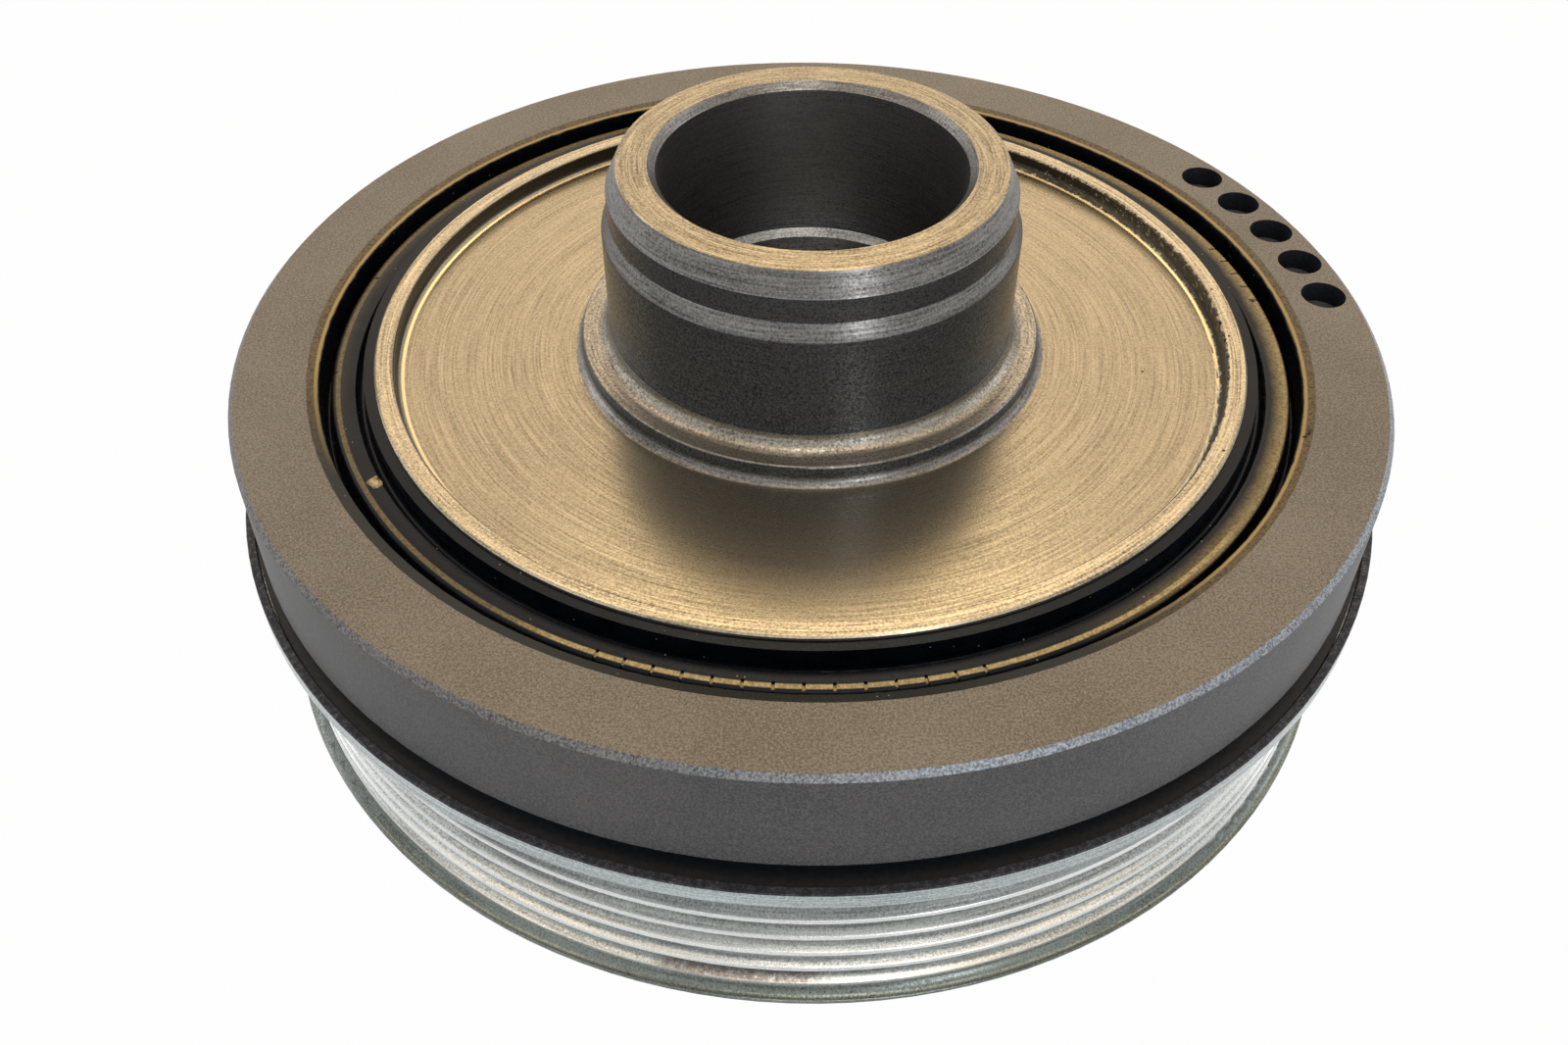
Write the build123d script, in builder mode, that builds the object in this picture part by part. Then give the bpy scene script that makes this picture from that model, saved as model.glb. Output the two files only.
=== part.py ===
"""Harmonic balancer with a decoupled six-groove belt pulley.

The hub slides on a crankshaft nose. An inertia ring is bonded round the hub's rim with
moulded rubber, and the belt pulley is carried by a second rubber ring pressed on the hub's
skirt. Every piece is turned about the Z axis. Z = 0 is the face that the pulley rests on,
and +Z points towards the engine, out of the hub's nose. Sizes are in millimetres.
"""
import os
from math import radians, tan

from build123d import *

# ---------------------------------------------------------------- driving dimensions
# Hub: bore for the crankshaft's nose
pilot_radius = 19.6
pilot_rise = 1.55
pilot_depth = 12.8
nose_bore_step = 1.0
nose_bore_chamfer = 1.0
bolt_hole_radius = 9.5
bolt_hole_chamfer = 0.8

# Hub: nose, from its end down to the seal's land
nose_height = 25.95
nose_land = 4.15
nose_edge_round = 0.2
lead_in_taper = 1.5
lead_in_height = 3.2
lead_band_height = 3.4
shoulder_step = 0.95
shoulder_height = 2.2
shoulder_round = 1.2
seal_fillet = 2.0

# Hub: flange, dished web, rim, skirt and boss
flange_width = 3.9
flange_height = 2.9
flange_edge_round = 0.25
flange_fillet = 1.2
dish_width = 26.0
web_drop = 2.25
web_thickness = 10.0
rim_width = 2.6
rim_rise = 0.45
rim_fillet = 1.1
rim_edge_break = 0.25
skirt_step = 1.7
skirt_wall = 4.5
skirt_recess = 1.0
cup_fillet = 4.0
boss_wall = 17.5
boss_drop = 12.0
cup_chamfer = 1.0

# Damper rubber between the hub's rim and the inertia ring, from the rim outwards
land_width = 1.5
land_drop = 0.15
trough_width = 1.25
trough_depth = 3.4
bead_width = 3.5
bead_drop = 1.95
bead_crown = 0.2
bead_inner_round = 0.3
bead_shoulder_round = 0.8
moat_width = 0.95
moat_depth = 5.2
moat_taper = 0.25
film_thickness = 0.35
film_margin = 0.1
film_drop = 0.45
film_edge_round = 0.3
rubber_foot_gap = 1.0
rubber_foot_hollow = 1.2
tick_width = 0.4
tick_length = 1.6
tick_depth = 0.3
tick_reach = 1.5
tick_step_angle = 3.0
tick_front_first_angle = -110.9
tick_front_count = 14
tick_side_first_angle = 8.7
tick_side_count = 5

# Inertia ring and its balance holes
ring_width = 11.5
ring_height = 15.9
ring_gap = 2.7
ring_edge_chamfer = 0.75
ring_foot_chamfer = 0.2
ring_bore_chamfer = 1.3
balance_hole_count = 5
balance_hole_diameter = 6.4
balance_hole_depth = 3.2
balance_point_angle = 118.0
balance_edge = 4.75
balance_step_angle = 6.65
balance_first_angle = 6.6

# Rubber coupling of the pulley: inner sleeve, rubber and coated shell
sleeve_wall = 1.8
coupling_thickness = 10.4
coupling_end_gap = 1.0
coupling_hollow = 2.5
coupling_margin = 0.5
shell_thickness = 1.2
shell_bend = 1.5
shell_lead = 0.4
shell_recess = 0.8
shell_gap = 0.15

# Belt track of the pulley, for a six-rib belt
root_wall = 3.2
groove_count = 6
groove_pitch = 3.56
groove_depth = 2.9
groove_angle = 40.0
groove_root_round = 0.4
rib_flat = 0.7
rib_tip_round = 0.2
lip_reach = 1.7
lip_edge = 0.6
lip_edge_round = 0.2
lip_height = 2.0
lip_flare = 0.44
upper_flange_reach = 3.5
upper_flange_edge = 2.55
upper_flange_slope = 2.05
upper_flange_round = 0.2
upper_flange_land = 1.2
upper_flange_break = 0.15

# Web and collar of the pulley, on the side away from the engine
pulley_pocket = 1.6
pulley_web_thickness = 2.9
pulley_web_round = 1.2
pulley_collar = 3.2
pulley_collar_height = 8.0
pulley_edge_break = 0.5

# Plain bearing between the pulley's collar and the hub's skirt
bush_wall = 2.0
bush_flange = 4.0
bush_flange_thickness = 1.8
running_gap = 0.1

# ---------------------------------------------------------------- derived radii, from the bore out
nose_bore_radius = pilot_radius + nose_bore_step
nose_end_radius = nose_bore_radius + nose_bore_chamfer + nose_land
lead_in_radius = nose_end_radius + lead_in_taper
seal_radius = lead_in_radius + shoulder_step
flange_radius = seal_radius + flange_width
rim_inner_radius = flange_radius + dish_width
rim_radius = rim_inner_radius + rim_width
skirt_radius = rim_radius - skirt_step
skirt_inner_radius = skirt_radius - skirt_wall
boss_radius = bolt_hole_radius + boss_wall

trough_inner = rim_radius + land_width
trough_outer = trough_inner + trough_width
bead_outer = trough_outer + bead_width
moat_inner = bead_outer + moat_taper
moat_outer = moat_inner + moat_width
ring_bore_radius = moat_outer + film_thickness
ring_radius = ring_bore_radius + ring_width
balance_circle_radius = ring_radius - balance_edge

sleeve_radius = skirt_radius + sleeve_wall
shell_inner_radius = sleeve_radius + coupling_thickness
pulley_bore_radius = shell_inner_radius + shell_thickness
root_radius = pulley_bore_radius + root_wall
rib_radius = root_radius + groove_depth
lip_radius = rib_radius + lip_reach
upper_flange_radius = rib_radius + upper_flange_reach
shell_seat_radius = upper_flange_radius - upper_flange_land
shell_flange_radius = shell_seat_radius - shell_gap

bush_inner_radius = skirt_radius + running_gap
bush_outer_radius = bush_inner_radius + bush_wall
collar_radius = bush_outer_radius + pulley_collar

# ---------------------------------------------------------------- derived heights, from the rest face up
groove_mouth = groove_pitch - rib_flat
flank_run = groove_depth * tan(radians(groove_angle / 2))
track_bottom = lip_height
track_top = track_bottom + groove_count * groove_pitch - rib_flat
pulley_top = track_top + upper_flange_slope + upper_flange_edge
pulley_web_top = pulley_pocket + pulley_web_thickness
bush_top = pulley_collar_height + bush_flange_thickness
coupling_bottom = bush_top + coupling_end_gap
shell_top = pulley_top - shell_recess
shell_seat = shell_top - shell_thickness
coupling_top = shell_seat - shell_bend - coupling_margin

ring_bottom = pulley_top + ring_gap
ring_top = ring_bottom + ring_height
land_top = ring_top - land_drop
trough_floor = land_top - trough_depth
trough_turn = trough_floor + trough_width / 2
bead_edge = land_top - bead_drop
moat_floor = land_top - moat_depth
moat_turn = moat_floor + moat_width / 2
film_edge = ring_top - film_drop
film_top = ring_top - film_margin
film_lap = ring_bore_chamfer - film_margin
foot = ring_bottom + rubber_foot_gap

nose_top = ring_top + nose_height
lead_in_bottom = nose_top - lead_in_height
lead_band_bottom = lead_in_bottom - lead_band_height
seal_top = lead_band_bottom - shoulder_height
pilot_top = ring_top + pilot_rise
pilot_floor = pilot_top - pilot_depth
web_top = ring_top - web_drop
web_bottom = web_top - web_thickness
flange_top = web_top + flange_height
rim_top = ring_top + rim_rise
rim_step = pulley_top
boss_bottom = web_bottom - boss_drop

os.makedirs("parts", exist_ok=True)


def corner(radius, height):
    """The vertex of the open sketch that lies at this radius and height."""
    return vertices().sort_by_distance((radius, height))[0]


def finish(piece, name):
    """Label a finished piece and write it as its own STEP file."""
    piece.part.label = name
    export_step(piece.part, f"parts/{name}.step")


# ---------------------------------------------------------------- hub
# One turned forging: a bored nose, a dished web, a rim for the damper, a skirt for the
# pulley, and a boss under the web that seats the crankshaft bolt.
with BuildPart() as hub:
    with BuildSketch(Plane.XZ):
        with BuildLine():
            Polyline(
                (nose_bore_radius, nose_top),
                (nose_end_radius, nose_top),
                (lead_in_radius, lead_in_bottom),
                (lead_in_radius, lead_band_bottom),
                (seal_radius, seal_top),
                (seal_radius, flange_top),
                (flange_radius, flange_top),
                (flange_radius, web_top),
                (rim_inner_radius, web_top),
                (rim_inner_radius, rim_top),
                (rim_radius, rim_top),
                (rim_radius, rim_step),
                (skirt_radius, rim_step),
                (skirt_radius, skirt_recess),
                (skirt_inner_radius, skirt_recess),
                (skirt_inner_radius, web_bottom),
                (boss_radius, web_bottom),
                (boss_radius, boss_bottom),
                (bolt_hole_radius, boss_bottom),
                (bolt_hole_radius, pilot_floor),
                (pilot_radius, pilot_floor),
                (pilot_radius, pilot_top),
                (nose_bore_radius, pilot_top + nose_bore_step),
                close=True,
            )
        make_face()
        chamfer(corner(nose_bore_radius, nose_top), nose_bore_chamfer)
        fillet(corner(nose_end_radius, nose_top), nose_edge_round)
        fillet(corner(seal_radius, seal_top), shoulder_round)
        fillet(corner(seal_radius, flange_top), seal_fillet)
        fillet(corner(flange_radius, flange_top), flange_edge_round)
        fillet(corner(flange_radius, web_top), flange_fillet)
        fillet(corner(rim_inner_radius, web_top), rim_fillet)
        chamfer(corner(rim_inner_radius, rim_top), rim_edge_break)
        chamfer(corner(rim_radius, rim_top), rim_edge_break)
        fillet(corner(skirt_inner_radius, web_bottom), cup_fillet)
        fillet(corner(boss_radius, web_bottom), cup_fillet)
        chamfer(corner(skirt_inner_radius, skirt_recess), cup_chamfer)
        chamfer(corner(boss_radius, boss_bottom), cup_chamfer)
        chamfer(corner(bolt_hole_radius, boss_bottom), bolt_hole_chamfer)
    revolve(axis=Axis.Z)
finish(hub, "hub")

# ---------------------------------------------------------------- inertia ring
with BuildPart() as inertia_ring:
    with BuildSketch(Plane.XZ):
        with BuildLine():
            Polyline(
                (ring_bore_radius, ring_bottom),
                (ring_radius, ring_bottom),
                (ring_radius, ring_top),
                (ring_bore_radius, ring_top),
                close=True,
            )
        make_face()
        chamfer(corner(ring_radius, ring_top), ring_edge_chamfer)
        chamfer(corner(ring_radius, ring_bottom), ring_foot_chamfer)
        chamfer(corner(ring_bore_radius, ring_top), ring_bore_chamfer)
    revolve(axis=Axis.Z)
    # Blind drillings that trim the balance, each with the point that the drill leaves
    hole_radius = balance_hole_diameter / 2
    point_depth = hole_radius / tan(radians(balance_point_angle / 2))
    with BuildSketch(Plane.XZ):
        with BuildLine():
            Polyline(
                (balance_circle_radius, ring_top),
                (balance_circle_radius + hole_radius, ring_top),
                (balance_circle_radius + hole_radius, ring_top - balance_hole_depth),
                (balance_circle_radius, ring_top - balance_hole_depth - point_depth),
                close=True,
            )
        make_face()
    hole_axis = Axis((balance_circle_radius, 0, 0), (0, 0, 1))
    drilling = revolve(axis=hole_axis, mode=Mode.PRIVATE)
    for index in range(balance_hole_count):
        turn = balance_first_angle + index * balance_step_angle
        add(drilling.rotate(Axis.Z, turn), mode=Mode.SUBTRACT)
finish(inertia_ring, "inertia_ring")

# ---------------------------------------------------------------- damper rubber
# Moulded between the rim and the ring. Its free face has a land, a trough, a lower bead with
# a round outer shoulder, and a deep moat beside a film that laps over the ring's chamfer.
with BuildPart() as damper_rubber:
    with BuildSketch(Plane.XZ):
        with BuildLine():
            Line((rim_radius, foot), (rim_radius, land_top))
            Line((rim_radius, land_top), (trough_inner, land_top))
            Line((trough_inner, land_top), (trough_inner, trough_turn))
            ThreePointArc(
                (trough_inner, trough_turn),
                (trough_inner + trough_width / 2, trough_floor),
                (trough_outer, trough_turn),
            )
            Line((trough_outer, trough_turn), (trough_outer, bead_edge))
            SagittaArc((trough_outer, bead_edge), (bead_outer, bead_edge), bead_crown)
            Line((bead_outer, bead_edge), (moat_inner, moat_turn))
            ThreePointArc(
                (moat_inner, moat_turn),
                (moat_inner + moat_width / 2, moat_floor),
                (moat_outer, moat_turn),
            )
            Polyline(
                (moat_outer, moat_turn),
                (moat_outer, film_edge),
                (ring_bore_radius + film_lap, film_top),
                (ring_bore_radius, ring_top - ring_bore_chamfer),
                (ring_bore_radius, foot),
            )
            SagittaArc((ring_bore_radius, foot), (rim_radius, foot), -rubber_foot_hollow)
        make_face()
        fillet(corner(trough_outer, bead_edge), bead_inner_round)
        fillet(corner(bead_outer, bead_edge), bead_shoulder_round)
        fillet(corner(moat_outer, film_edge), film_edge_round)
    revolve(axis=Axis.Z)
    # Ticks moulded across the bead's shoulder, all of one depth below its surface
    with BuildSketch(Plane.XZ) as shoulder:
        tick_start = bead_outer - tick_length
        tick_floor = bead_edge - tick_depth
        with Locations((tick_start, bead_edge - tick_reach)):
            Rectangle(2 * tick_length, 2 * tick_reach, align=(Align.MIN, Align.MIN))
        with BuildLine():
            crown = SagittaArc((trough_outer, tick_floor), (bead_outer - tick_depth, tick_floor), bead_crown)
            Polyline(crown @ 1, (bead_outer - tick_depth, moat_floor), (trough_outer, moat_floor), crown @ 0)
        make_face(mode=Mode.SUBTRACT)
        fillet(corner(bead_outer - tick_depth, tick_floor), bead_shoulder_round - tick_depth)
    tick = extrude(shoulder.sketch, amount=tick_width / 2, both=True, mode=Mode.PRIVATE)
    for index in range(tick_front_count):
        turn = tick_front_first_angle + index * tick_step_angle
        add(tick.rotate(Axis.Z, turn), mode=Mode.SUBTRACT)
    for index in range(tick_side_count):
        turn = tick_side_first_angle + index * tick_step_angle
        add(tick.rotate(Axis.Z, turn), mode=Mode.SUBTRACT)
finish(damper_rubber, "damper_rubber")

# ---------------------------------------------------------------- pulley
# A belt track with a flared lip below and a wider flange above, on a web whose collar
# holds the bearing. The flange's top is recessed to seat the coupling's shell.
with BuildPart() as pulley:
    with BuildSketch(Plane.XZ):
        with BuildLine():
            Polyline(
                (rib_radius, track_bottom),
                (rib_radius, track_top),
                (upper_flange_radius, track_top + upper_flange_slope),
                (upper_flange_radius, pulley_top),
                (shell_seat_radius, pulley_top),
                (shell_seat_radius, shell_seat),
                (pulley_bore_radius, shell_seat),
                (pulley_bore_radius, pulley_web_top),
                (collar_radius, pulley_web_top),
                (collar_radius, pulley_collar_height),
                (bush_outer_radius, pulley_collar_height),
                (bush_outer_radius, 0),
                (collar_radius, 0),
                (collar_radius, pulley_pocket),
                (pulley_bore_radius, pulley_pocket),
                (pulley_bore_radius, 0),
                (lip_radius, 0),
                (lip_radius, lip_edge),
            )
            SagittaArc((lip_radius, lip_edge), (rib_radius, track_bottom), lip_flare)
        make_face()
        chamfer(corner(pulley_bore_radius, shell_seat), shell_bend + shell_lead)
        chamfer(corner(shell_seat_radius, pulley_top), upper_flange_break)
        fillet(corner(upper_flange_radius, track_top + upper_flange_slope), upper_flange_round)
        fillet(corner(upper_flange_radius, pulley_top), upper_flange_round)
        fillet(corner(lip_radius, 0), lip_edge_round)
        fillet(corner(lip_radius, lip_edge), lip_edge_round)
        fillet(corner(pulley_bore_radius, pulley_web_top), pulley_web_round)
        fillet(corner(collar_radius, pulley_web_top), pulley_web_round)
        fillet(corner(collar_radius, pulley_pocket), pulley_web_round)
        fillet(corner(pulley_bore_radius, pulley_pocket), pulley_web_round)
        chamfer(corner(bush_outer_radius, 0), pulley_edge_break)
        # One V groove for each rib of the belt, with a rounded root
        for index in range(groove_count):
            mouth_bottom = track_bottom + index * groove_pitch
            mouth_top = mouth_bottom + groove_mouth
            with BuildLine():
                Polyline(
                    (rib_radius, mouth_bottom),
                    (rib_radius, mouth_top),
                    (root_radius, mouth_top - flank_run),
                    (root_radius, mouth_bottom + flank_run),
                    close=True,
                )
            make_face(mode=Mode.SUBTRACT)
            fillet(corner(root_radius, mouth_top - flank_run), groove_root_round)
            fillet(corner(root_radius, mouth_bottom + flank_run), groove_root_round)
        # The ribs left between the grooves have their tips rounded
        for index in range(1, groove_count):
            rib_top = track_bottom + index * groove_pitch
            fillet(corner(rib_radius, rib_top), rib_tip_round)
            fillet(corner(rib_radius, rib_top - rib_flat), rib_tip_round)
    revolve(axis=Axis.Z)
finish(pulley, "pulley")

# ---------------------------------------------------------------- bearing bush
with BuildPart() as bearing_bush:
    with BuildSketch(Plane.XZ):
        with BuildLine():
            Polyline(
                (bush_inner_radius, skirt_recess),
                (bush_outer_radius, skirt_recess),
                (bush_outer_radius, pulley_collar_height),
                (bush_outer_radius + bush_flange, pulley_collar_height),
                (bush_outer_radius + bush_flange, bush_top),
                (bush_inner_radius, bush_top),
                close=True,
            )
        make_face()
    revolve(axis=Axis.Z)
finish(bearing_bush, "bearing_bush")

# ---------------------------------------------------------------- pulley coupling
# The coated shell is pressed in the pulley, the sleeve on the hub, with rubber between.
with BuildPart() as coupling_shell:
    with BuildSketch(Plane.XZ):
        with BuildLine():
            Polyline(
                (pulley_bore_radius, coupling_bottom),
                (pulley_bore_radius, shell_seat),
                (shell_flange_radius, shell_seat),
                (shell_flange_radius, shell_top),
                (shell_inner_radius, shell_top),
                (shell_inner_radius, coupling_bottom),
                close=True,
            )
        make_face()
        fillet(corner(pulley_bore_radius, shell_seat), shell_bend)
        fillet(corner(shell_inner_radius, shell_top), shell_bend + shell_thickness)
    revolve(axis=Axis.Z)
finish(coupling_shell, "coupling_shell")

with BuildPart() as coupling_rubber:
    with BuildSketch(Plane.XZ):
        with BuildLine():
            Line((sleeve_radius, coupling_bottom), (sleeve_radius, coupling_top))
            SagittaArc(
                (sleeve_radius, coupling_top), (shell_inner_radius, coupling_top), -coupling_hollow
            )
            Line((shell_inner_radius, coupling_top), (shell_inner_radius, coupling_bottom))
            SagittaArc(
                (shell_inner_radius, coupling_bottom), (sleeve_radius, coupling_bottom), -coupling_hollow
            )
        make_face()
    revolve(axis=Axis.Z)
finish(coupling_rubber, "coupling_rubber")

with BuildPart() as coupling_sleeve:
    with BuildSketch(Plane.XZ):
        with BuildLine():
            Polyline(
                (skirt_radius, coupling_bottom),
                (sleeve_radius, coupling_bottom),
                (sleeve_radius, rim_step),
                (skirt_radius, rim_step),
                close=True,
            )
        make_face()
    revolve(axis=Axis.Z)
finish(coupling_sleeve, "coupling_sleeve")
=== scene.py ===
"""Looks for a harmonic balancer: a turned steel hub, a rubber damper with a coated inertia
ring, and a zinc-plated belt pulley on a rubber coupling.

The solids from the CAD frame already have their true shapes, so each stays and is given its
finish here, region by region. Only small marks of moulding and handling are added as pieces.
Radii, heights and grain are in millimetres, and the places of the camera, the lamps and the
floor are in metres. Angles are in degrees about the axis: 0 is the right and -90 the front.
"""
import math
import random

import bmesh
import bpy
from mathutils import Matrix, Vector


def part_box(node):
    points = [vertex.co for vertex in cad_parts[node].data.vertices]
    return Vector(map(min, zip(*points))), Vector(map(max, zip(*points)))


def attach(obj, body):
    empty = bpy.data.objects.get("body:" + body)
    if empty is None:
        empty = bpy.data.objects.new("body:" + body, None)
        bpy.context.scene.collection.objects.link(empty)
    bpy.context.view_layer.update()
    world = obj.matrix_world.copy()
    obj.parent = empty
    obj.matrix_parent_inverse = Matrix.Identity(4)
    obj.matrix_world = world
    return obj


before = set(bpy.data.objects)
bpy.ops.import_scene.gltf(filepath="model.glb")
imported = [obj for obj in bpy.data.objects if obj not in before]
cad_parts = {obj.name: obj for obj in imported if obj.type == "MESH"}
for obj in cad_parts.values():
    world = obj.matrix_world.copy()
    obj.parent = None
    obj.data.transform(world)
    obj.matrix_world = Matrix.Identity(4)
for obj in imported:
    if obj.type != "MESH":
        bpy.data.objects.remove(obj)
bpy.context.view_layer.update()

MM = 0.001


def top_of(node):
    """Height of a CAD node's highest point."""
    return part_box(node)[1].z / MM


def reach_of(node):
    """Greatest radius of a CAD node."""
    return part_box(node)[1].x / MM


# ------------------------------------------------------------------ camera

LENS_MM = 34.196
SENSOR_MM = 36.0
# Where the camera stands, and how it is turned, tipped down and rolled
EYE = (0.0, -0.17331, 0.17101)
YAW, PITCH, ROLL = math.radians(-1.165), math.radians(43.521), math.radians(0.262)


def make_camera():
    """The camera, which looks down into the nose from in front."""
    data = bpy.data.cameras.new("camera")
    data.lens, data.sensor_width = LENS_MM, SENSOR_MM
    data.clip_start, data.clip_end = 0.01, 50.0
    camera = bpy.data.objects.new("camera", data)
    ahead = Vector((math.sin(YAW), math.cos(YAW), 0.0))
    forward = ahead * math.cos(PITCH) - Vector((0.0, 0.0, math.sin(PITCH)))
    level = Vector((math.cos(YAW), -math.sin(YAW), 0.0))
    aim = Matrix((level, level.cross(forward), -forward)).transposed()
    camera.matrix_world = Matrix.Translation(EYE) @ (aim @ Matrix.Rotation(ROLL, 3, "Z")).to_4x4()
    bpy.context.scene.collection.objects.link(camera)
    bpy.context.scene.camera = camera


make_camera()

# ------------------------------------------------------------------ materials


def linear(hex_colour):
    """A linear RGBA colour from an sRGB hex value such as "A49989"."""
    parts = [int(hex_colour[i : i + 2], 16) / 255 for i in (0, 2, 4)]
    return [c / 12.92 if c <= 0.04045 else ((c + 0.055) / 1.055) ** 2.4 for c in parts] + [1.0]


def add(tree, kind, inputs=(), stops=(), **settings):
    """Adds a shader node and returns its outputs.

    Inputs are in order or by name, and each is a value or another node's output. Stops are
    the (position, hex colour) pairs of a colour ramp.
    """
    made = tree.nodes.new("ShaderNode" + kind)
    for name, value in settings.items():
        setattr(made, name, value)
    named = inputs if isinstance(inputs, dict) else dict(enumerate(inputs))
    for key, value in named.items():
        if isinstance(value, bpy.types.NodeSocket):
            tree.links.new(value, made.inputs[key])
        else:
            made.inputs[key].default_value = value
    for number, (position, colour) in enumerate(stops):
        if number > 1:
            made.color_ramp.elements.new(1.0)
        made.color_ramp.elements[number].position = position
        made.color_ramp.elements[number].color = linear(colour)
    return made.outputs


def new_material(name):
    """A named material and its empty node tree."""
    made = bpy.data.materials.new(name)
    made.use_nodes = True
    made.node_tree.nodes.clear()
    return made, made.node_tree


def finish_surface(tree, inputs):
    """Ends a material with a Principled shader on these inputs."""
    shader = add(tree, "BsdfPrincipled", inputs)[0]
    add(tree, "OutputMaterial", {"Surface": shader})


def polar(tree):
    """Radius, angle in radians and height of the shaded point."""
    place = add(tree, "TexCoord")["Object"]
    x, y, z = add(tree, "SeparateXYZ", (place,))
    flat = add(tree, "CombineXYZ", (x, y))[0]
    reach = add(tree, "VectorMath", (flat,), operation="LENGTH")["Value"]
    radius = add(tree, "Math", (reach, 1 / MM), operation="MULTIPLY")[0]
    angle = add(tree, "Math", (y, x), operation="ARCTAN2")[0]
    height = add(tree, "Math", (z, 1 / MM), operation="MULTIPLY")[0]
    return radius, angle, height


# How much finer the rings are on a wall than on a flat face
WALL_STRETCH = 1.37


def tool_marks(tree, mark, around):
    """Noise drawn out round the axis: marks this wide, about `around` of them in a radian.

    Height counts as well as radius, so that cones and walls have their rings too.
    """
    place = add(tree, "TexCoord")["Object"]
    x, y, z = add(tree, "SeparateXYZ", (place,))
    flat = add(tree, "CombineXYZ", (x, y))[0]
    reach = add(tree, "VectorMath", (flat,), operation="LENGTH")["Value"]
    across = add(tree, "Math", (z, WALL_STRETCH, reach), operation="MULTIPLY_ADD")[0]
    scaled = add(tree, "Math", (across, 1 / (mark * MM)), operation="MULTIPLY")[0]
    outward = add(tree, "VectorMath", (flat,), operation="NORMALIZE")[0]
    turned = add(tree, "VectorMath", {0: outward, "Scale": around}, operation="SCALE")[0]
    along_x, along_y, _ = add(tree, "SeparateXYZ", (turned,))
    lay = add(tree, "CombineXYZ", (along_x, along_y, scaled))[0]
    inputs = {"Vector": lay, "Scale": 1.0, "Detail": 3.0, "Roughness": 0.6}
    return add(tree, "TexNoise", inputs)["Fac"]


def grain(tree, size, detail=2.0, rough=0.6):
    """Even noise whose features are about this size."""
    place = add(tree, "TexCoord")["Object"]
    inputs = {"Vector": place, "Scale": 1 / (size * MM), "Detail": detail, "Roughness": rough}
    return add(tree, "TexNoise", inputs)["Fac"]


def flecks(tree, spacing, size):
    """1 inside scattered dots of about this size, and 0 between them."""
    place = add(tree, "TexCoord")["Object"]
    inputs = {"Vector": place, "Scale": 1 / (spacing * MM), "Randomness": 1.0}
    far = add(tree, "TexVoronoi", inputs)["Distance"]
    edge = size / spacing / 2
    return add(tree, "MapRange", (far, edge * 0.7, edge, 1.0, 0.0))[0]


def band(tree, value, low, high, soft):
    """1 where the value lies between low and high, fading out over `soft` at each side."""
    above = add(tree, "MapRange", (value, low - soft, low, 0.0, 1.0))[0]
    below = add(tree, "MapRange", (value, high, high + soft, 1.0, 0.0))[0]
    return add(tree, "Math", (above, below), operation="MULTIPLY")[0]


def sector(tree, angle, start, end, fade):
    """1 between two angles in degrees, fading out over `fade` degrees at each side."""
    return band(tree, angle, math.radians(start), math.radians(end), math.radians(fade))


def spots(tree, places, size):
    """1 inside a round mark of this size at each (radius, degrees) place, and 0 elsewhere."""
    place = add(tree, "TexCoord")["Object"]
    flat = add(tree, "VectorMath", (place, (1.0, 1.0, 0.0)), operation="MULTIPLY")[0]
    found = 0.0
    for radius, degrees in places:
        turn = math.radians(degrees)
        centre = (radius * MM * math.cos(turn), radius * MM * math.sin(turn), 0.0)
        far = add(tree, "VectorMath", (flat, centre), operation="DISTANCE")["Value"]
        near = add(tree, "MapRange", (far, size * MM * 0.3, size * MM * 0.5, 1.0, 0.0))[0]
        found = add(tree, "Math", (found, near), operation="MAXIMUM")[0]
    return found


def layered(tree, colour, layers):
    """The colour with each layer laid over it in turn.

    A layer is its share, from 0 to 1, and its colour, as a hex value or another node's output.
    """
    for share, over in layers:
        shade = linear(over) if isinstance(over, str) else over
        inputs = {"Factor": share, "A": colour, "B": shade}
        colour = add(tree, "Mix", inputs, data_type="RGBA")["Result"]
    return colour


# Steps of the solids that the finishes follow, to within 0.1 mm
RING_EDGE = 0.8
HOLE_INSET = 4.75
HOLE_RADIUS = 3.2
HOLE_DEPTH = 5.1
RIM_WIDTH = 2.6
RIM_RISE = 0.45
WEB_DROP = 2.25
WEB_THICKNESS = 10.0
DISH_WIDTH = 26.0
FLANGE_HEIGHT = 2.9
FLANGE_FILLET = 1.2
SEAL_FILLET = 2.0
NOSE_BORE_RADIUS = 20.6
NOSE_CHAMFER = 1.0
NOSE_ROUND = 0.2
LAND_WIDTH = 1.5
TROUGH_WIDTH = 1.25
BEAD_WIDTH = 3.5
BEAD_DROP = 1.9
TOP_RIM_WIDTH = 1.5
TOP_RIM_DEPTH = 0.3
UPPER_FLANGE_REACH = 3.5
UPPER_FLANGE_HEIGHT = 4.6
GROOVE_DEPTH = 2.9
LIP_HEIGHT = 2.0

# Heights and radii, from the frame and those steps
RING_TOP = top_of("inertia_ring")
RING_RADIUS = reach_of("inertia_ring")
HOLE_CIRCLE = RING_RADIUS - HOLE_INSET
NOSE_TOP = top_of("hub")
RIM_RADIUS = reach_of("hub")
RIM_INNER = RIM_RADIUS - RIM_WIDTH
RIM_TOP = RING_TOP + RIM_RISE
WEB_TOP = RING_TOP - WEB_DROP
WEB_BOTTOM = WEB_TOP - WEB_THICKNESS
FLANGE_RADIUS = RIM_INNER - DISH_WIDTH
FLANGE_TOP = WEB_TOP + FLANGE_HEIGHT
BEAD_EDGE = RIM_RADIUS + LAND_WIDTH + TROUGH_WIDTH + BEAD_WIDTH
BEAD_CROWN = RING_TOP - BEAD_DROP
FILM_TOP = top_of("damper_rubber")
FILM_RADIUS = reach_of("damper_rubber")
PULLEY_TOP = top_of("pulley")
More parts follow.
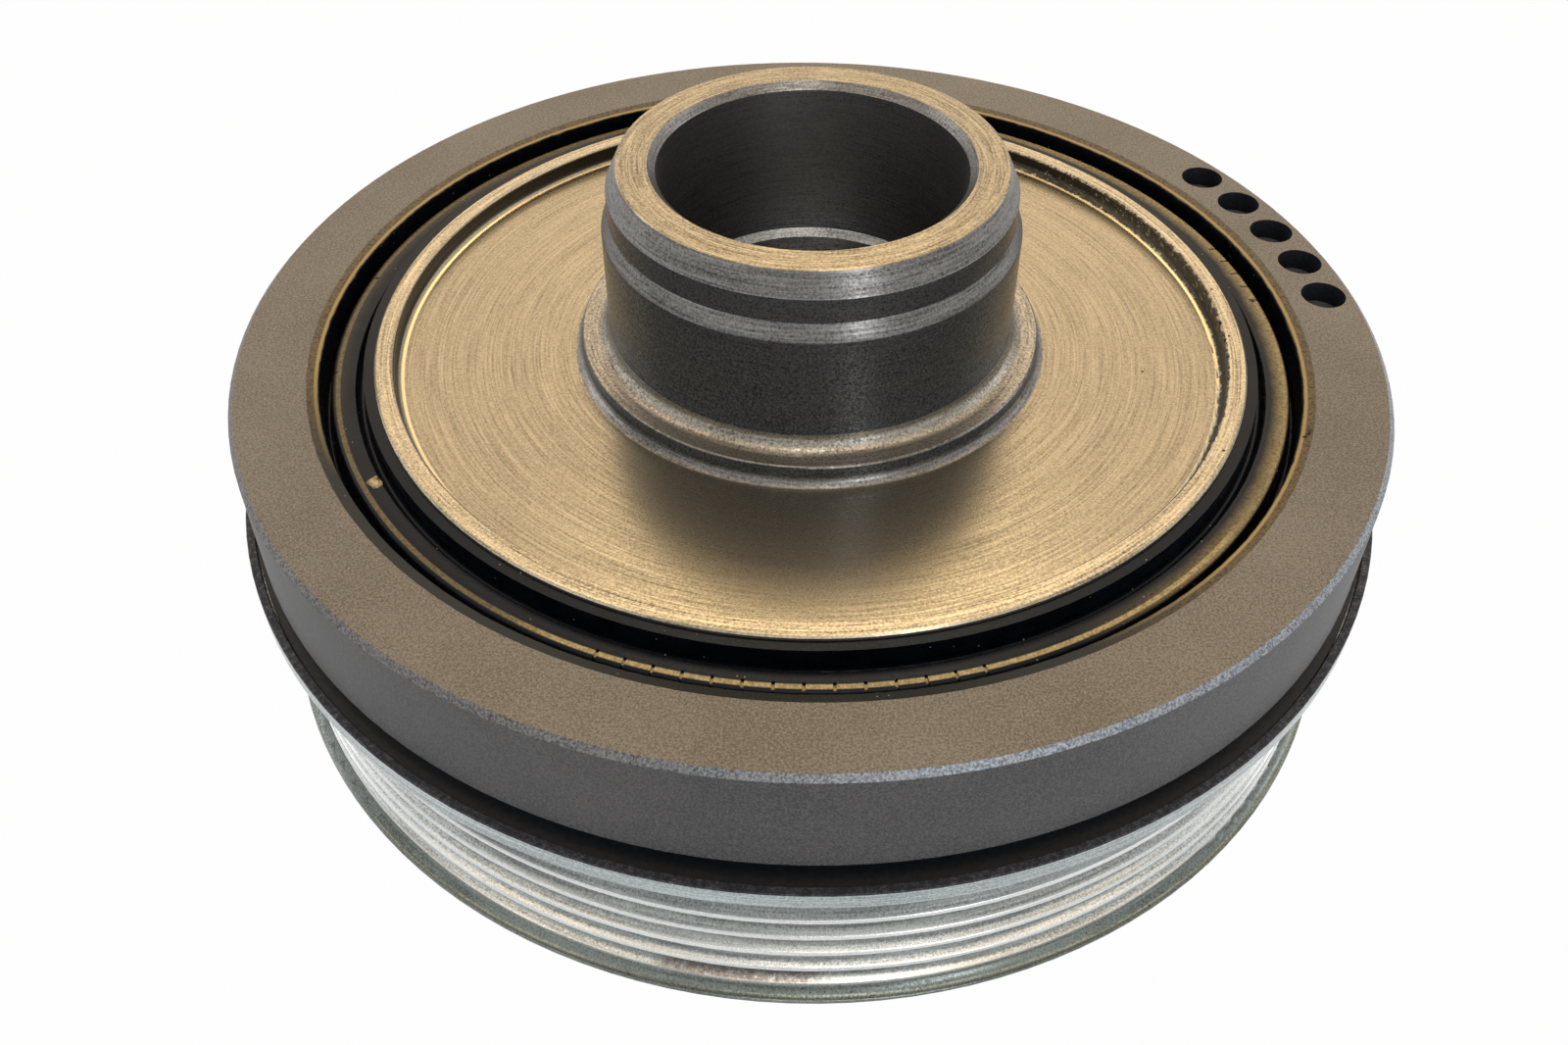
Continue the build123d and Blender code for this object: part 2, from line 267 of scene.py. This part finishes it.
PULLEY_RADIUS = reach_of("pulley")
TRACK_TOP = PULLEY_TOP - UPPER_FLANGE_HEIGHT
RIB_RADIUS = PULLEY_RADIUS - UPPER_FLANGE_REACH
ROOT_RADIUS = RIB_RADIUS - GROOVE_DEPTH

# Marks of wear, each at its radius and angle in degrees
RIM_PITS = [(58.9, -2.3), (59.9, -26.9), (59.2, 8.8), (47.0, -9.0)]
RUBBER_TEARS = [(69.2, -19.2), (68.9, -19.7), (65.9, 169.6), (66.4, -170.5), (65.8, 8.4)]
LIP_KNOCKS = [(81.6, -144.0), (81.8, -137.0), (81.4, -135.5), (81.7, -130.0), (81.5, -32.0)]

# Height of the tool marks, from valley to crest
TOOL_DEPTH = 0.007


def shaded_corner_and_glint(tree, colour, radius, angle):
    """The rim's inner corner: a thin dark line of painted shade lies in it, wider and ragged at
    the right and faint at the front, beside a thin painted highlight on the web where the
    fillet catches the light. A few pits are scattered near it."""
    wander = add(tree, "MapRange", (grain(tree, 0.9, 3.0, 0.8), 0.3, 0.7, -0.35, 0.35))[0]
    ragged_side = sector(tree, angle, -32, 50, 17.2)
    shift = add(tree, "Math", (wander, ragged_side), operation="MULTIPLY")[0]
    uneven = add(tree, "Math", (radius, shift))[0]
    # Painted shade: a dark line along the corner, wider and ragged at the right, faint at the front
    narrow = band(tree, radius, RIM_INNER - 0.2, RIM_INNER + 0.05, 0.12)
    wide = band(tree, uneven, RIM_INNER - 0.5, RIM_INNER + 0.12, 0.12)
    oily = add(tree, "Mix", {"Factor": ragged_side, "A": narrow, "B": wide})[0]
    front_span = sector(tree, angle, -125, -50, 17.2)
    left = add(tree, "MapRange", (front_span, 0.0, 1.0, 0.9, 0.1))[0]
    oil = add(tree, "Math", (oily, left), operation="MULTIPLY")[0]
    # Painted highlight: a bright line on the web just inside the corner, where the fillet catches
    # light
    fillet_glint_band = band(tree, radius, RIM_INNER - 1.0, RIM_INNER - 0.7, 0.12)
    shine = add(tree, "Math", (fillet_glint_band, 0.5), operation="MULTIPLY")[0]
    pits = spots(tree, RIM_PITS, 0.5)
    return layered(tree, colour, [(oil, "2A251E"), (shine, "F2DCA8"), (pits, "1E1B18")])


def turned_steel(name, light, dark, roughness, spark, corner=False, dish=0.0):
    """Bare carbon steel fresh off the lathe under a film of preserving oil, which tints it
    straw: each face keeps the fine rings of the tool, which spread a reflection across them,
    broken up by small bright facets. The rings are drawn about twice as wide as the tool's
    feed, so that they show. Spark is the share of the facets. Dish, in degrees, tips the
    shading of a flat face as if it leaned in towards the axis, which stretches the
    reflection of what stands on it. The solid itself stays flat."""
    made, tree = new_material(name)
    radius, angle, _ = polar(tree)
    fine = tool_marks(tree, 0.26, 3.0)
    broad = tool_marks(tree, 0.9, 2.0)
    facets = grain(tree, 0.34, 2.0, 0.8)
    marks = add(tree, "Mix", {"Factor": 0.15, "A": fine, "B": broad})[0]
    cut = add(tree, "Mix", {"Factor": spark, "A": marks, "B": facets})[0]
    colour = add(tree, "ValToRGB", (cut,), [(0.36, dark), (0.64, light)])[0]
    # With corner, painted shade and a painted highlight line the rim's inner corner
    if corner:
        colour = shaded_corner_and_glint(tree, colour, radius, angle)
    rough = add(tree, "MapRange", (cut, 0.35, 0.65, roughness + 0.1, roughness - 0.08))[0]
    lean = math.tan(math.radians(dish)) / TOOL_DEPTH
    lifted = add(tree, "Math", (radius, lean, cut), operation="MULTIPLY_ADD")[0]
    bump = add(tree, "Bump", {"Height": lifted, "Strength": 1.0, "Distance": TOOL_DEPTH * MM})[0]
    radial = add(tree, "Tangent", direction_type="RADIAL", axis="Z")[0]
    finish_surface(tree, {
        "Base Color": colour, "Metallic": 1.0, "Roughness": rough, "Normal": bump,
        "Anisotropic": 0.5, "Anisotropic Rotation": 0.25, "Tangent": radial,
    })
    return made


def coated_iron(name, dark, light, metallic, painted_light=False):
    """Grey cast iron, machined and dipped in a satin electro-coat: the coat lies thin over
    the tool's facets, so it stays grainy and a little metallic. With painted light, the top
    is tinted straw as painted warm light from above, the walls are painted darker as shade,
    and the outer chamfer is painted light and bluish as a highlight, most at the front and
    right, shown as iron rubbed bare."""
    made, tree = new_material(name)
    peel = grain(tree, 0.3, 2.0, 0.8)
    cloud = grain(tree, 16.0, 3.0)
    mixed = add(tree, "Mix", {"Factor": 0.14, "A": peel, "B": cloud})[0]
    colour = add(tree, "ValToRGB", (mixed,), [(0.39, dark), (0.61, light)])[0]
    metal = metallic
    if painted_light:
        radius, angle, height = polar(tree)
        rim_start, chamfer_foot = RING_RADIUS - RING_EDGE, RING_TOP - RING_EDGE
        outer = add(tree, "MapRange", (radius, rim_start, rim_start + 0.1, 0.0, 1.0))[0]
        high = add(tree, "MapRange", (height, chamfer_foot, chamfer_foot + 0.1, 0.0, 1.0))[0]
        edge = add(tree, "Math", (outer, high), operation="MULTIPLY")[0]
        # Painted light: the top face tinted straw, as if lit warm from above
        oiled = add(tree, "MapRange", (height, RING_TOP - 0.06, RING_TOP - 0.02, 0.0, 0.22))[0]
        # Painted shade: the walls below the chamfer darkened
        painted_wall_shade = add(tree, "MapRange", (high, 0.0, 1.0, 0.35, 0.0))[0]
        # Painted highlight: the outer chamfer made light and bluish, most at the front and right,
        # shown as iron rubbed bare
        front_right_span = sector(tree, angle, -80, -5, 28.6)
        share = add(tree, "MapRange", (front_right_span, 0.0, 1.0, 0.25, 1.0))[0]
        edge_glint_and_wear = add(tree, "Math", (edge, share), operation="MULTIPLY")[0]
        iron = add(tree, "ValToRGB", (peel,), [(0.36, "53575C"), (0.64, "AAB1B9")])[0]
        colour = layered(tree, colour, [(oiled, "8A774A"), (painted_wall_shade, "2A2E33"), (edge_glint_and_wear, iron)])
        metal = add(tree, "MapRange", (edge_glint_and_wear, 0.0, 1.0, metallic, 0.7))[0]
    rough = add(tree, "MapRange", (peel, 0.3, 0.7, 0.46, 0.6))[0]
    bump = add(tree, "Bump", {"Height": peel, "Strength": 0.5, "Distance": 0.03 * MM})[0]
    surface = {"Base Color": colour, "Metallic": metal, "Roughness": rough, "Normal": bump}
    finish_surface(tree, surface)
    return made


def bead_shoulder_glint(tree, radius, ragged, angle, front_span):
    """The share of the painted gold highlight on the bead, shown as straw wax: a crisp line along
    its shoulder, strongest between the ticks, and a soft run beside it that is strongest at
    the right, thins towards the left and is left out at the front."""
    crisp = band(tree, radius, BEAD_EDGE - 1.3, BEAD_EDGE - 0.8, 0.15)
    ticked = sector(tree, angle, -114, -40, 8.6)
    kept = add(tree, "MapRange", (ticked, 0.0, 1.0, 0.35, 1.0))[0]
    line = add(tree, "Math", (crisp, kept), operation="MULTIPLY")[0]
    broad = add(tree, "MapRange", (ragged, BEAD_EDGE - 2.7, BEAD_EDGE - 0.8, 0.0, 0.8))[0]
    inside = add(tree, "MapRange", (radius, BEAD_EDGE - 0.5, BEAD_EDGE - 0.2, 1.0, 0.0))[0]
    wide = add(tree, "Math", (broad, inside), operation="MULTIPLY")[0]
    # Painted highlight: the soft run is strongest at the right and thins to the left, as the light
    # falls
    turned = add(tree, "Math", (angle, math.radians(20)), operation="SUBTRACT")[0]
    facing = add(tree, "Math", (turned,), operation="COSINE")[0]
    side = add(tree, "Math", (facing, 0.45, 0.55), operation="MULTIPLY_ADD")[0]
    off_front = add(tree, "MapRange", (front_span, 0.0, 1.0, 1.0, 0.0))[0]
    spread = add(tree, "Math", (side, off_front), operation="MULTIPLY")[0]
    run = add(tree, "Math", (wide, spread), operation="MULTIPLY")[0]
    return add(tree, "Math", (line, run), operation="MAXIMUM")[0]


def moulded_rubber():
    """Black rubber moulded in a polished tool: a half gloss, with dust on it. The bead's
    shoulder carries a painted gold highlight, and the film that laps onto the ring a painted
    warm reflection with a bright painted edge, both shown as straw wax bloom. At the front
    the film is painted dark as shade. It has a few tears. Its reflections are tinted blue,
    as those of new rubber look."""
    made, tree = new_material("moulded black rubber")
    cloud = grain(tree, 3.0, 3.0)
    fine = grain(tree, 0.35, 2.0, 0.7)
    radius, angle, height = polar(tree)
    wander = add(tree, "MapRange", (cloud, 0.3, 0.7, -0.15, 0.15))[0]
    ragged = add(tree, "Math", (radius, wander))[0]
    # The front span, where the film is painted dark as shade and the bead's soft run is left out
    front_span = sector(tree, angle, -150, -62, 20.0)
    bead_glint = bead_shoulder_glint(tree, radius, ragged, angle, front_span)
    on_top = add(tree, "MapRange", (height, FILM_TOP - 0.8, FILM_TOP - 0.4, 0.0, 1.0))[0]
    outer = add(tree, "MapRange", (ragged, FILM_RADIUS - 1.5, FILM_RADIUS - 1.35))[0]
    lap = add(tree, "Math", (outer, on_top), operation="MULTIPLY")[0]
    # Painted highlight: a bright band along the film's inner edge
    film_glint = band(tree, radius, FILM_RADIUS - 1.3, FILM_RADIUS - 1.0, 0.15)
    black = add(tree, "ValToRGB", (cloud,), [(0.35, "08090D"), (0.7, "10131A")])[0]
    # Colour of the painted gold highlight on the bead, shown as wax
    wax = add(tree, "ValToRGB", (fine,), [(0.35, "94835C"), (0.65, "CFBC8C")])[0]
    # The film's tan is partly wax bloom and partly a painted warm reflection
    tan = add(tree, "ValToRGB", (fine,), [(0.35, "463A28"), (0.65, "7C6B4C")])[0]
    film = layered(tree, tan, [(film_glint, "AE9766"), (front_span, "2A2A27")])
    dust = flecks(tree, 1.9, 0.22)
    torn = spots(tree, RUBBER_TEARS, 0.8)
    layers = [(bead_glint, wax), (lap, film), (dust, "A39C8C"), (torn, "0C0C0E")]
    rough = add(tree, "MapRange", (fine, 0.3, 0.7, 0.24, 0.36))[0]
    bump = add(tree, "Bump", {"Height": cloud, "Strength": 0.2, "Distance": 0.05 * MM})[0]
    finish_surface(tree, {
        "Base Color": layered(tree, black, layers), "Roughness": rough, "Normal": bump,
        "Specular IOR Level": 0.14, "Specular Tint": linear("D2E2F4"),
    })
    return made


def rust_in_groove(tree, angle, height):
    """The share of rust: patchy, low in the lowest groove, over a short stretch in front."""
    lowest = band(tree, height, LIP_HEIGHT + 0.1, LIP_HEIGHT + 0.5, 0.2)
    stretch = sector(tree, angle, -102, -89, 1.7)
    patchy = add(tree, "MapRange", (grain(tree, 0.8, 3.0, 0.7), 0.35, 0.6, 0.2, 0.8))[0]
    run = add(tree, "Math", (lowest, stretch), operation="MULTIPLY")[0]
    return add(tree, "Math", (run, patchy), operation="MULTIPLY")[0]


def zinc_plate():
    """Turned steel under bright zinc plate: silver, a little blue, with a fine sparkle that
    follows the turning. The rib tips carry a painted highlight and the groove roots painted
    shade, the lip below the track is dulled, pitted and knocked, and the lowest groove has a
    run of rust in front."""
    made, tree = new_material("bright zinc plate on steel")
    sparkle = grain(tree, 0.3, 1.0, 0.7)
    marks = tool_marks(tree, 0.3, 3.0)
    mixed = add(tree, "Mix", {"Factor": 0.6, "A": sparkle, "B": marks})[0]
    radius, angle, height = polar(tree)
    bright = add(tree, "ValToRGB", (mixed,), [(0.38, "868A89"), (0.6, "D2D5D3")])[0]
    satin = add(tree, "ValToRGB", (mixed,), [(0.38, "82898A"), (0.6, "BDC4C4")])[0]
    dull = add(tree, "ValToRGB", (mixed,), [(0.38, "50554F"), (0.6, "7F8581")])[0]
    # Painted highlight: the rib tips made near white
    rib_tip_highlight = add(tree, "MapRange", (radius, RIB_RADIUS - 0.45, RIB_RADIUS - 0.1, 0.0, 0.5))[0]
    on_flange = add(tree, "MapRange", (height, TRACK_TOP + 0.3, TRACK_TOP + 0.6, 0.0, 1.0))[0]
    on_lip = add(tree, "MapRange", (height, LIP_HEIGHT - 0.4, LIP_HEIGHT + 0.2, 1.0, 0.0))[0]
    # Painted shade: the groove roots darkened
    deep = band(tree, radius, ROOT_RADIUS - 0.1, ROOT_RADIUS + 0.15, 0.4)
    root_shade = add(tree, "Math", (deep, 0.95), operation="MULTIPLY")[0]
    knocked = spots(tree, LIP_KNOCKS, 1.2)
    marred = add(tree, "Math", (flecks(tree, 1.6, 0.3), knocked), operation="MAXIMUM")[0]
    worn = add(tree, "Math", (marred, on_lip), operation="MULTIPLY")[0]
    rusty = rust_in_groove(tree, angle, height)
    layers = [(rib_tip_highlight, "F0F2F1"), (on_flange, satin), (on_lip, dull), (root_shade, "2C2F2F")]
    layers += [(worn, "3A3B38"), (rusty, "7A6558")]
    metal = add(tree, "MapRange", (rusty, 0.0, 1.0, 1.0, 0.4))[0]
    rough = add(tree, "MapRange", (mixed, 0.3, 0.7, 0.34, 0.18))[0]
    bump = add(tree, "Bump", {"Height": mixed, "Strength": 0.3, "Distance": 0.02 * MM})[0]
    radial = add(tree, "Tangent", direction_type="RADIAL", axis="Z")[0]
    finish_surface(tree, {
        "Base Color": layered(tree, bright, layers), "Metallic": metal, "Roughness": rough,
        "Normal": bump, "Anisotropic": 0.4, "Anisotropic Rotation": 0.25, "Tangent": radial,
    })
    return made


def shaded_top_rim():
    """The pulley's top rim under the ring, painted nearly black, partly as the ring's shade and
    partly as old grease and brake dust, with grit in it."""
    made, tree = new_material("grease and dust on zinc plate")
    grit = grain(tree, 0.6, 3.0, 0.8)
    shades = [(0.36, "191B20"), (0.5, "2A2C33"), (0.7, "5C5E64")]
    colour = add(tree, "ValToRGB", (grit,), shades)[0]
    rough = add(tree, "MapRange", (grit, 0.3, 0.7, 0.75, 0.5))[0]
    bump = add(tree, "Bump", {"Height": grit, "Strength": 0.7, "Distance": 0.08 * MM})[0]
    surface = {"Base Color": colour, "Metallic": 0.2, "Roughness": rough, "Normal": bump}
    finish_surface(tree, surface)
    return made


def plain_finish(name, dark, light, roughness, metallic, size):
    """A finish with a little grain, for what is hidden or in deep shade."""
    made, tree = new_material(name)
    fleck = grain(tree, size, 3.0)
    colour = add(tree, "ValToRGB", (fleck,), [(0.35, dark), (0.65, light)])[0]
    finish_surface(tree, {"Base Color": colour, "Roughness": roughness, "Metallic": metallic})
    return made


web_steel = turned_steel("faced steel, oiled", "A39883", "686152", 0.25, 0.45, corner=True, dish=2.4)
rim_steel = turned_steel("bright turned steel", "CCBEA2", "544D41", 0.36, 0.42, corner=True)
nose_steel = turned_steel("turned steel end face", "B4A68B", "4A4438", 0.36, 0.42)
cone_steel = turned_steel("turned steel", "8D8A87", "383736", 0.34, 0.48)
land_steel = turned_steel("ground steel", "737983", "2B2D32", 0.3, 0.75)
flange_steel = turned_steel("turned steel flange", "ABA497", "4C4843", 0.34, 0.6)
bore_steel = turned_steel("bored steel", "A6A6A4", "484848", 0.34, 0.5)
under_steel = turned_steel("rough-turned steel", "8C8880", "66625C", 0.42, 0.3)
ring_coat = coated_iron("satin electro-coat on cast iron", "343332", "848180", 0.1, painted_light=True)
# Painted shade: the same coat made near black and bluish inside the drilled holes
hole_shade_coat = coated_iron("electro-coat in a drilled hole", "121419", "2A2F38", 0.3)
rubber = moulded_rubber()
zinc = zinc_plate()
# The pulley's top rim, painted nearly black as shade under the ring and as grease
top_rim_shade = shaded_top_rim()
# Drawn sheet steel under black paint
black_paint = plain_finish("black paint on sheet steel", "141518", "26272A", 0.55, 0.0, 0.8)
# Injection-moulded acetal, slightly waxy
bush_polymer = plain_finish("moulded acetal", "A89F87", "BDB49C", 0.5, 0.0, 4.0)
# Extruded black rubber, matt where no tool polished it
plain_rubber = plain_finish("matt black rubber", "131314", "1D1D1F", 0.65, 0.0, 2.0)
# Drawn tube, dull from the die
plain_steel = plain_finish("drawn steel tube", "6A6A68", "838381", 0.42, 1.0, 1.0)

# ------------------------------------------------------------------ finishes on the solids


def give(node, materials, choose=None):
    """Gives a CAD node its materials; choose(radius, height, up) picks one of them for each
    face, where up is how far the face looks upwards."""
    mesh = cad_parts[node].data
    mesh.materials.clear()
    for material in materials:
        mesh.materials.append(material)
    if choose is None:
        return
    for face in mesh.polygons:
        x, y, z = face.center
        finish = choose(math.hypot(x, y) / MM, z / MM, face.normal.z)
        face.material_index = materials.index(finish)


# How far from a border a face's centre may lie and still count as on it: CLOSE where the
# border is rounded or cut in facets, and FLUSH where it is flat
CLOSE = 0.05
FLUSH = 0.01
# The greatest upward part of a unit normal that a wall may have
UPRIGHT = 0.1


def hub_finish(radius, height, up):
    """The hub's finish at this place."""
    chamfer_radius = NOSE_BORE_RADIUS + NOSE_CHAMFER
    if height > NOSE_TOP - NOSE_ROUND and radius > chamfer_radius:
        return nose_steel
    if height > NOSE_TOP - NOSE_CHAMFER and radius < chamfer_radius:
        return cone_steel
    if height > WEB_BOTTOM + CLOSE and radius < NOSE_BORE_RADIUS + CLOSE:
        return bore_steel
    if FLANGE_TOP - FLUSH < height < FLANGE_TOP + SEAL_FILLET:
        return flange_steel
    if height > WEB_TOP + FLUSH / 2 and radius < FLANGE_RADIUS + FLANGE_FILLET:
        return land_steel if abs(up) < UPRIGHT else cone_steel
    if height > WEB_TOP - CLOSE:
        return rim_steel if radius > RIM_INNER - CLOSE else web_steel
    return under_steel


def ring_finish(radius, height, up):
    """The coat on the ring's faces, or in its balance drillings its copy painted dark as shade."""
    beside_holes = abs(radius - HOLE_CIRCLE) > HOLE_RADIUS + CLOSE
    if beside_holes or height > RING_TOP - FLUSH or height < RING_TOP - HOLE_DEPTH - CLOSE:
        return ring_coat
    return hole_shade_coat


def pulley_finish(radius, height, up):
    """The plate, or on the flat top rim outside the ribs its copy painted nearly black as shade and
    grease.
    """
    on_rim = height > PULLEY_TOP - TOP_RIM_DEPTH and radius > PULLEY_RADIUS - TOP_RIM_WIDTH
    return top_rim_shade if on_rim else zinc


hub_finishes = [web_steel, rim_steel, cone_steel, land_steel]
hub_finishes += [flange_steel, bore_steel, under_steel, nose_steel]
give("hub", hub_finishes, hub_finish)
give("pulley", [zinc, top_rim_shade], pulley_finish)
give("inertia_ring", [ring_coat, hole_shade_coat], ring_finish)
give("damper_rubber", [rubber])
give("coupling_shell", [black_paint])
give("bearing_bush", [bush_polymer])
give("coupling_rubber", [plain_rubber])
give("coupling_sleeve", [plain_steel])

# ------------------------------------------------------------------ marks of handling

chance = random.Random(7)


def crumb(name, place, size, finish):
    """A ragged lump, half sunk in what carries it: place is its radius, its angle in degrees
    and its height, and size is outwards, along and up."""
    radius, degrees, height = place
    form = bmesh.new()
    bmesh.ops.create_icosphere(form, subdivisions=2, radius=0.5)
    for vertex in form.verts:
        vertex.co *= chance.uniform(0.8, 1.3)
    shape = Matrix.Diagonal([length * MM for length in size] + [1.0])
    out = Matrix.Translation((radius * MM, 0.0, height * MM))
    turn = Matrix.Rotation(math.radians(degrees), 4, "Z")
    bmesh.ops.transform(form, matrix=turn @ out @ shape, verts=form.verts)
    mesh = bpy.data.meshes.new(name)
    form.to_mesh(mesh)
    form.free()
    mesh.materials.append(finish)
    lump = bpy.data.objects.new(name, mesh)
    bpy.context.scene.collection.objects.link(lump)
    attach(lump, "root")


# Dried preserving wax, cream where it is thick
wax = plain_finish("dried wax", "5A2E1E", "D9C79A", 0.5, 0.0, 1.2)
# Burrs that the tool pushed up, dark with oil
swarf = plain_finish("oily steel burr", "1F1B17", "6B6152", 0.4, 0.6, 0.4)

crumb("wax_flake", (64.4, -148.6, BEAD_CROWN), (1.7, 2.4, 0.7), wax)
crumb("film_end", (69.3, -18.2, FILM_TOP), (0.5, 1.6, 0.5), rubber)

BURRS = 11
FIRST_BURR, LAST_BURR = -11.0, 13.0
BURR_STEP = (LAST_BURR - FIRST_BURR) / (BURRS - 1)
for number in range(BURRS):
    degrees = FIRST_BURR + number * BURR_STEP + chance.uniform(-0.8, 0.8)
    size = (chance.uniform(0.3, 0.6), chance.uniform(0.4, 0.9), chance.uniform(0.25, 0.4))
    place = (RIM_INNER + 0.1, degrees, RIM_TOP)
    crumb(f"rim_burr_{number + 1}", place, size, swarf)

# ------------------------------------------------------------------ studio


def seen_directly(tree):
    """1 for a ray from the camera, a reflection or a refraction, and otherwise 0."""
    path = add(tree, "LightPath")
    seen, mirrored = path["Is Camera Ray"], path["Is Glossy Ray"]
    either = add(tree, "Math", (seen, mirrored), operation="MAXIMUM")[0]
    return add(tree, "Math", (either, path["Is Transmission Ray"]), operation="MAXIMUM")[0]


def make_world():
    """Soft bluish light from all round, behind a backdrop that looks white."""
    world = bpy.data.worlds.new("studio")
    world.use_nodes = True
    tree = world.node_tree
    tree.nodes.clear()
    fill = add(tree, "Background", (linear("DFE7F2"), 0.3))[0]
    white = add(tree, "Background", (linear("FFFFFF"), 1.0))[0]
    mixed = add(tree, "MixShader", (seen_directly(tree), fill, white))[0]
    add(tree, "OutputWorld", {"Surface": mixed})
    bpy.context.scene.world = world


FLOOR_REACH = 3.0
# Share of the floor's look that is pure white: the rest is paper, which takes the shadow
FLOOR_GLOW = 0.985


def make_floor():
    """A pale sweep that shows white and keeps a trace of the shadow."""
    turns = [(-1, -1), (1, -1), (1, 1), (-1, 1)]
    corners = [(x * FLOOR_REACH, y * FLOOR_REACH, 0.0) for x, y in turns]
    mesh = bpy.data.meshes.new("floor")
    mesh.from_pydata(corners, [], [(0, 1, 2, 3)])
    floor = bpy.data.objects.new("floor", mesh)
    bpy.context.scene.collection.objects.link(floor)
    made, tree = new_material("white paper sweep")
    paper = add(tree, "BsdfDiffuse", (linear("969696"),))[0]
    white = add(tree, "Emission", (linear("FFFFFF"), 1.0))[0]
    share = add(tree, "Math", (seen_directly(tree), FLOOR_GLOW), operation="MULTIPLY")[0]
    mixed = add(tree, "MixShader", (share, paper, white))[0]
    add(tree, "OutputMaterial", {"Surface": mixed})
    mesh.materials.append(made)


# What the soft boxes face: a point on the axis, within the part
LIT_POINT = Vector((0.0, 0.0, 0.04))


def make_card(name, place, size, brightness, colour):
    """A soft box that faces the part; brightness 1 looks as bright as white paper."""
    data = bpy.data.lights.new(name, "AREA")
    data.shape, data.size, data.size_y = "RECTANGLE", *size
    data.energy = math.pi * size[0] * size[1] * brightness
    data.color = linear(colour)[:3]
    card = bpy.data.objects.new(name, data)
    card.location = place
    towards = LIT_POINT - Vector(place)
    card.rotation_euler = towards.to_track_quat("-Z", "Y").to_euler()
    bpy.context.scene.collection.objects.link(card)


make_world()
make_floor()
make_card("warm ceiling", (0.0, 0.6, 1.4), (2.2, 2.6), 1.0, "FFD594")
make_card("ceiling light", (0.03, 0.8, 0.96), (0.4, 0.26), 3.4, "FFEAC0")
make_card("overhead light", (0.1, -0.35, 1.15), (0.4, 0.4), 3.5, "FFF6EA")
make_card("left window", (-1.2, 0.5, 0.55), (0.8, 0.8), 1.2, "F6F6F4")
make_card("right window", (1.2, 0.5, 0.55), (0.8, 0.8), 1.0, "F6F6F4")
make_card("front window", (0.55, -1.15, 0.6), (0.3, 0.9), 4.0, "F0F4FA")

bpy.context.scene.view_settings.view_transform = "Standard"
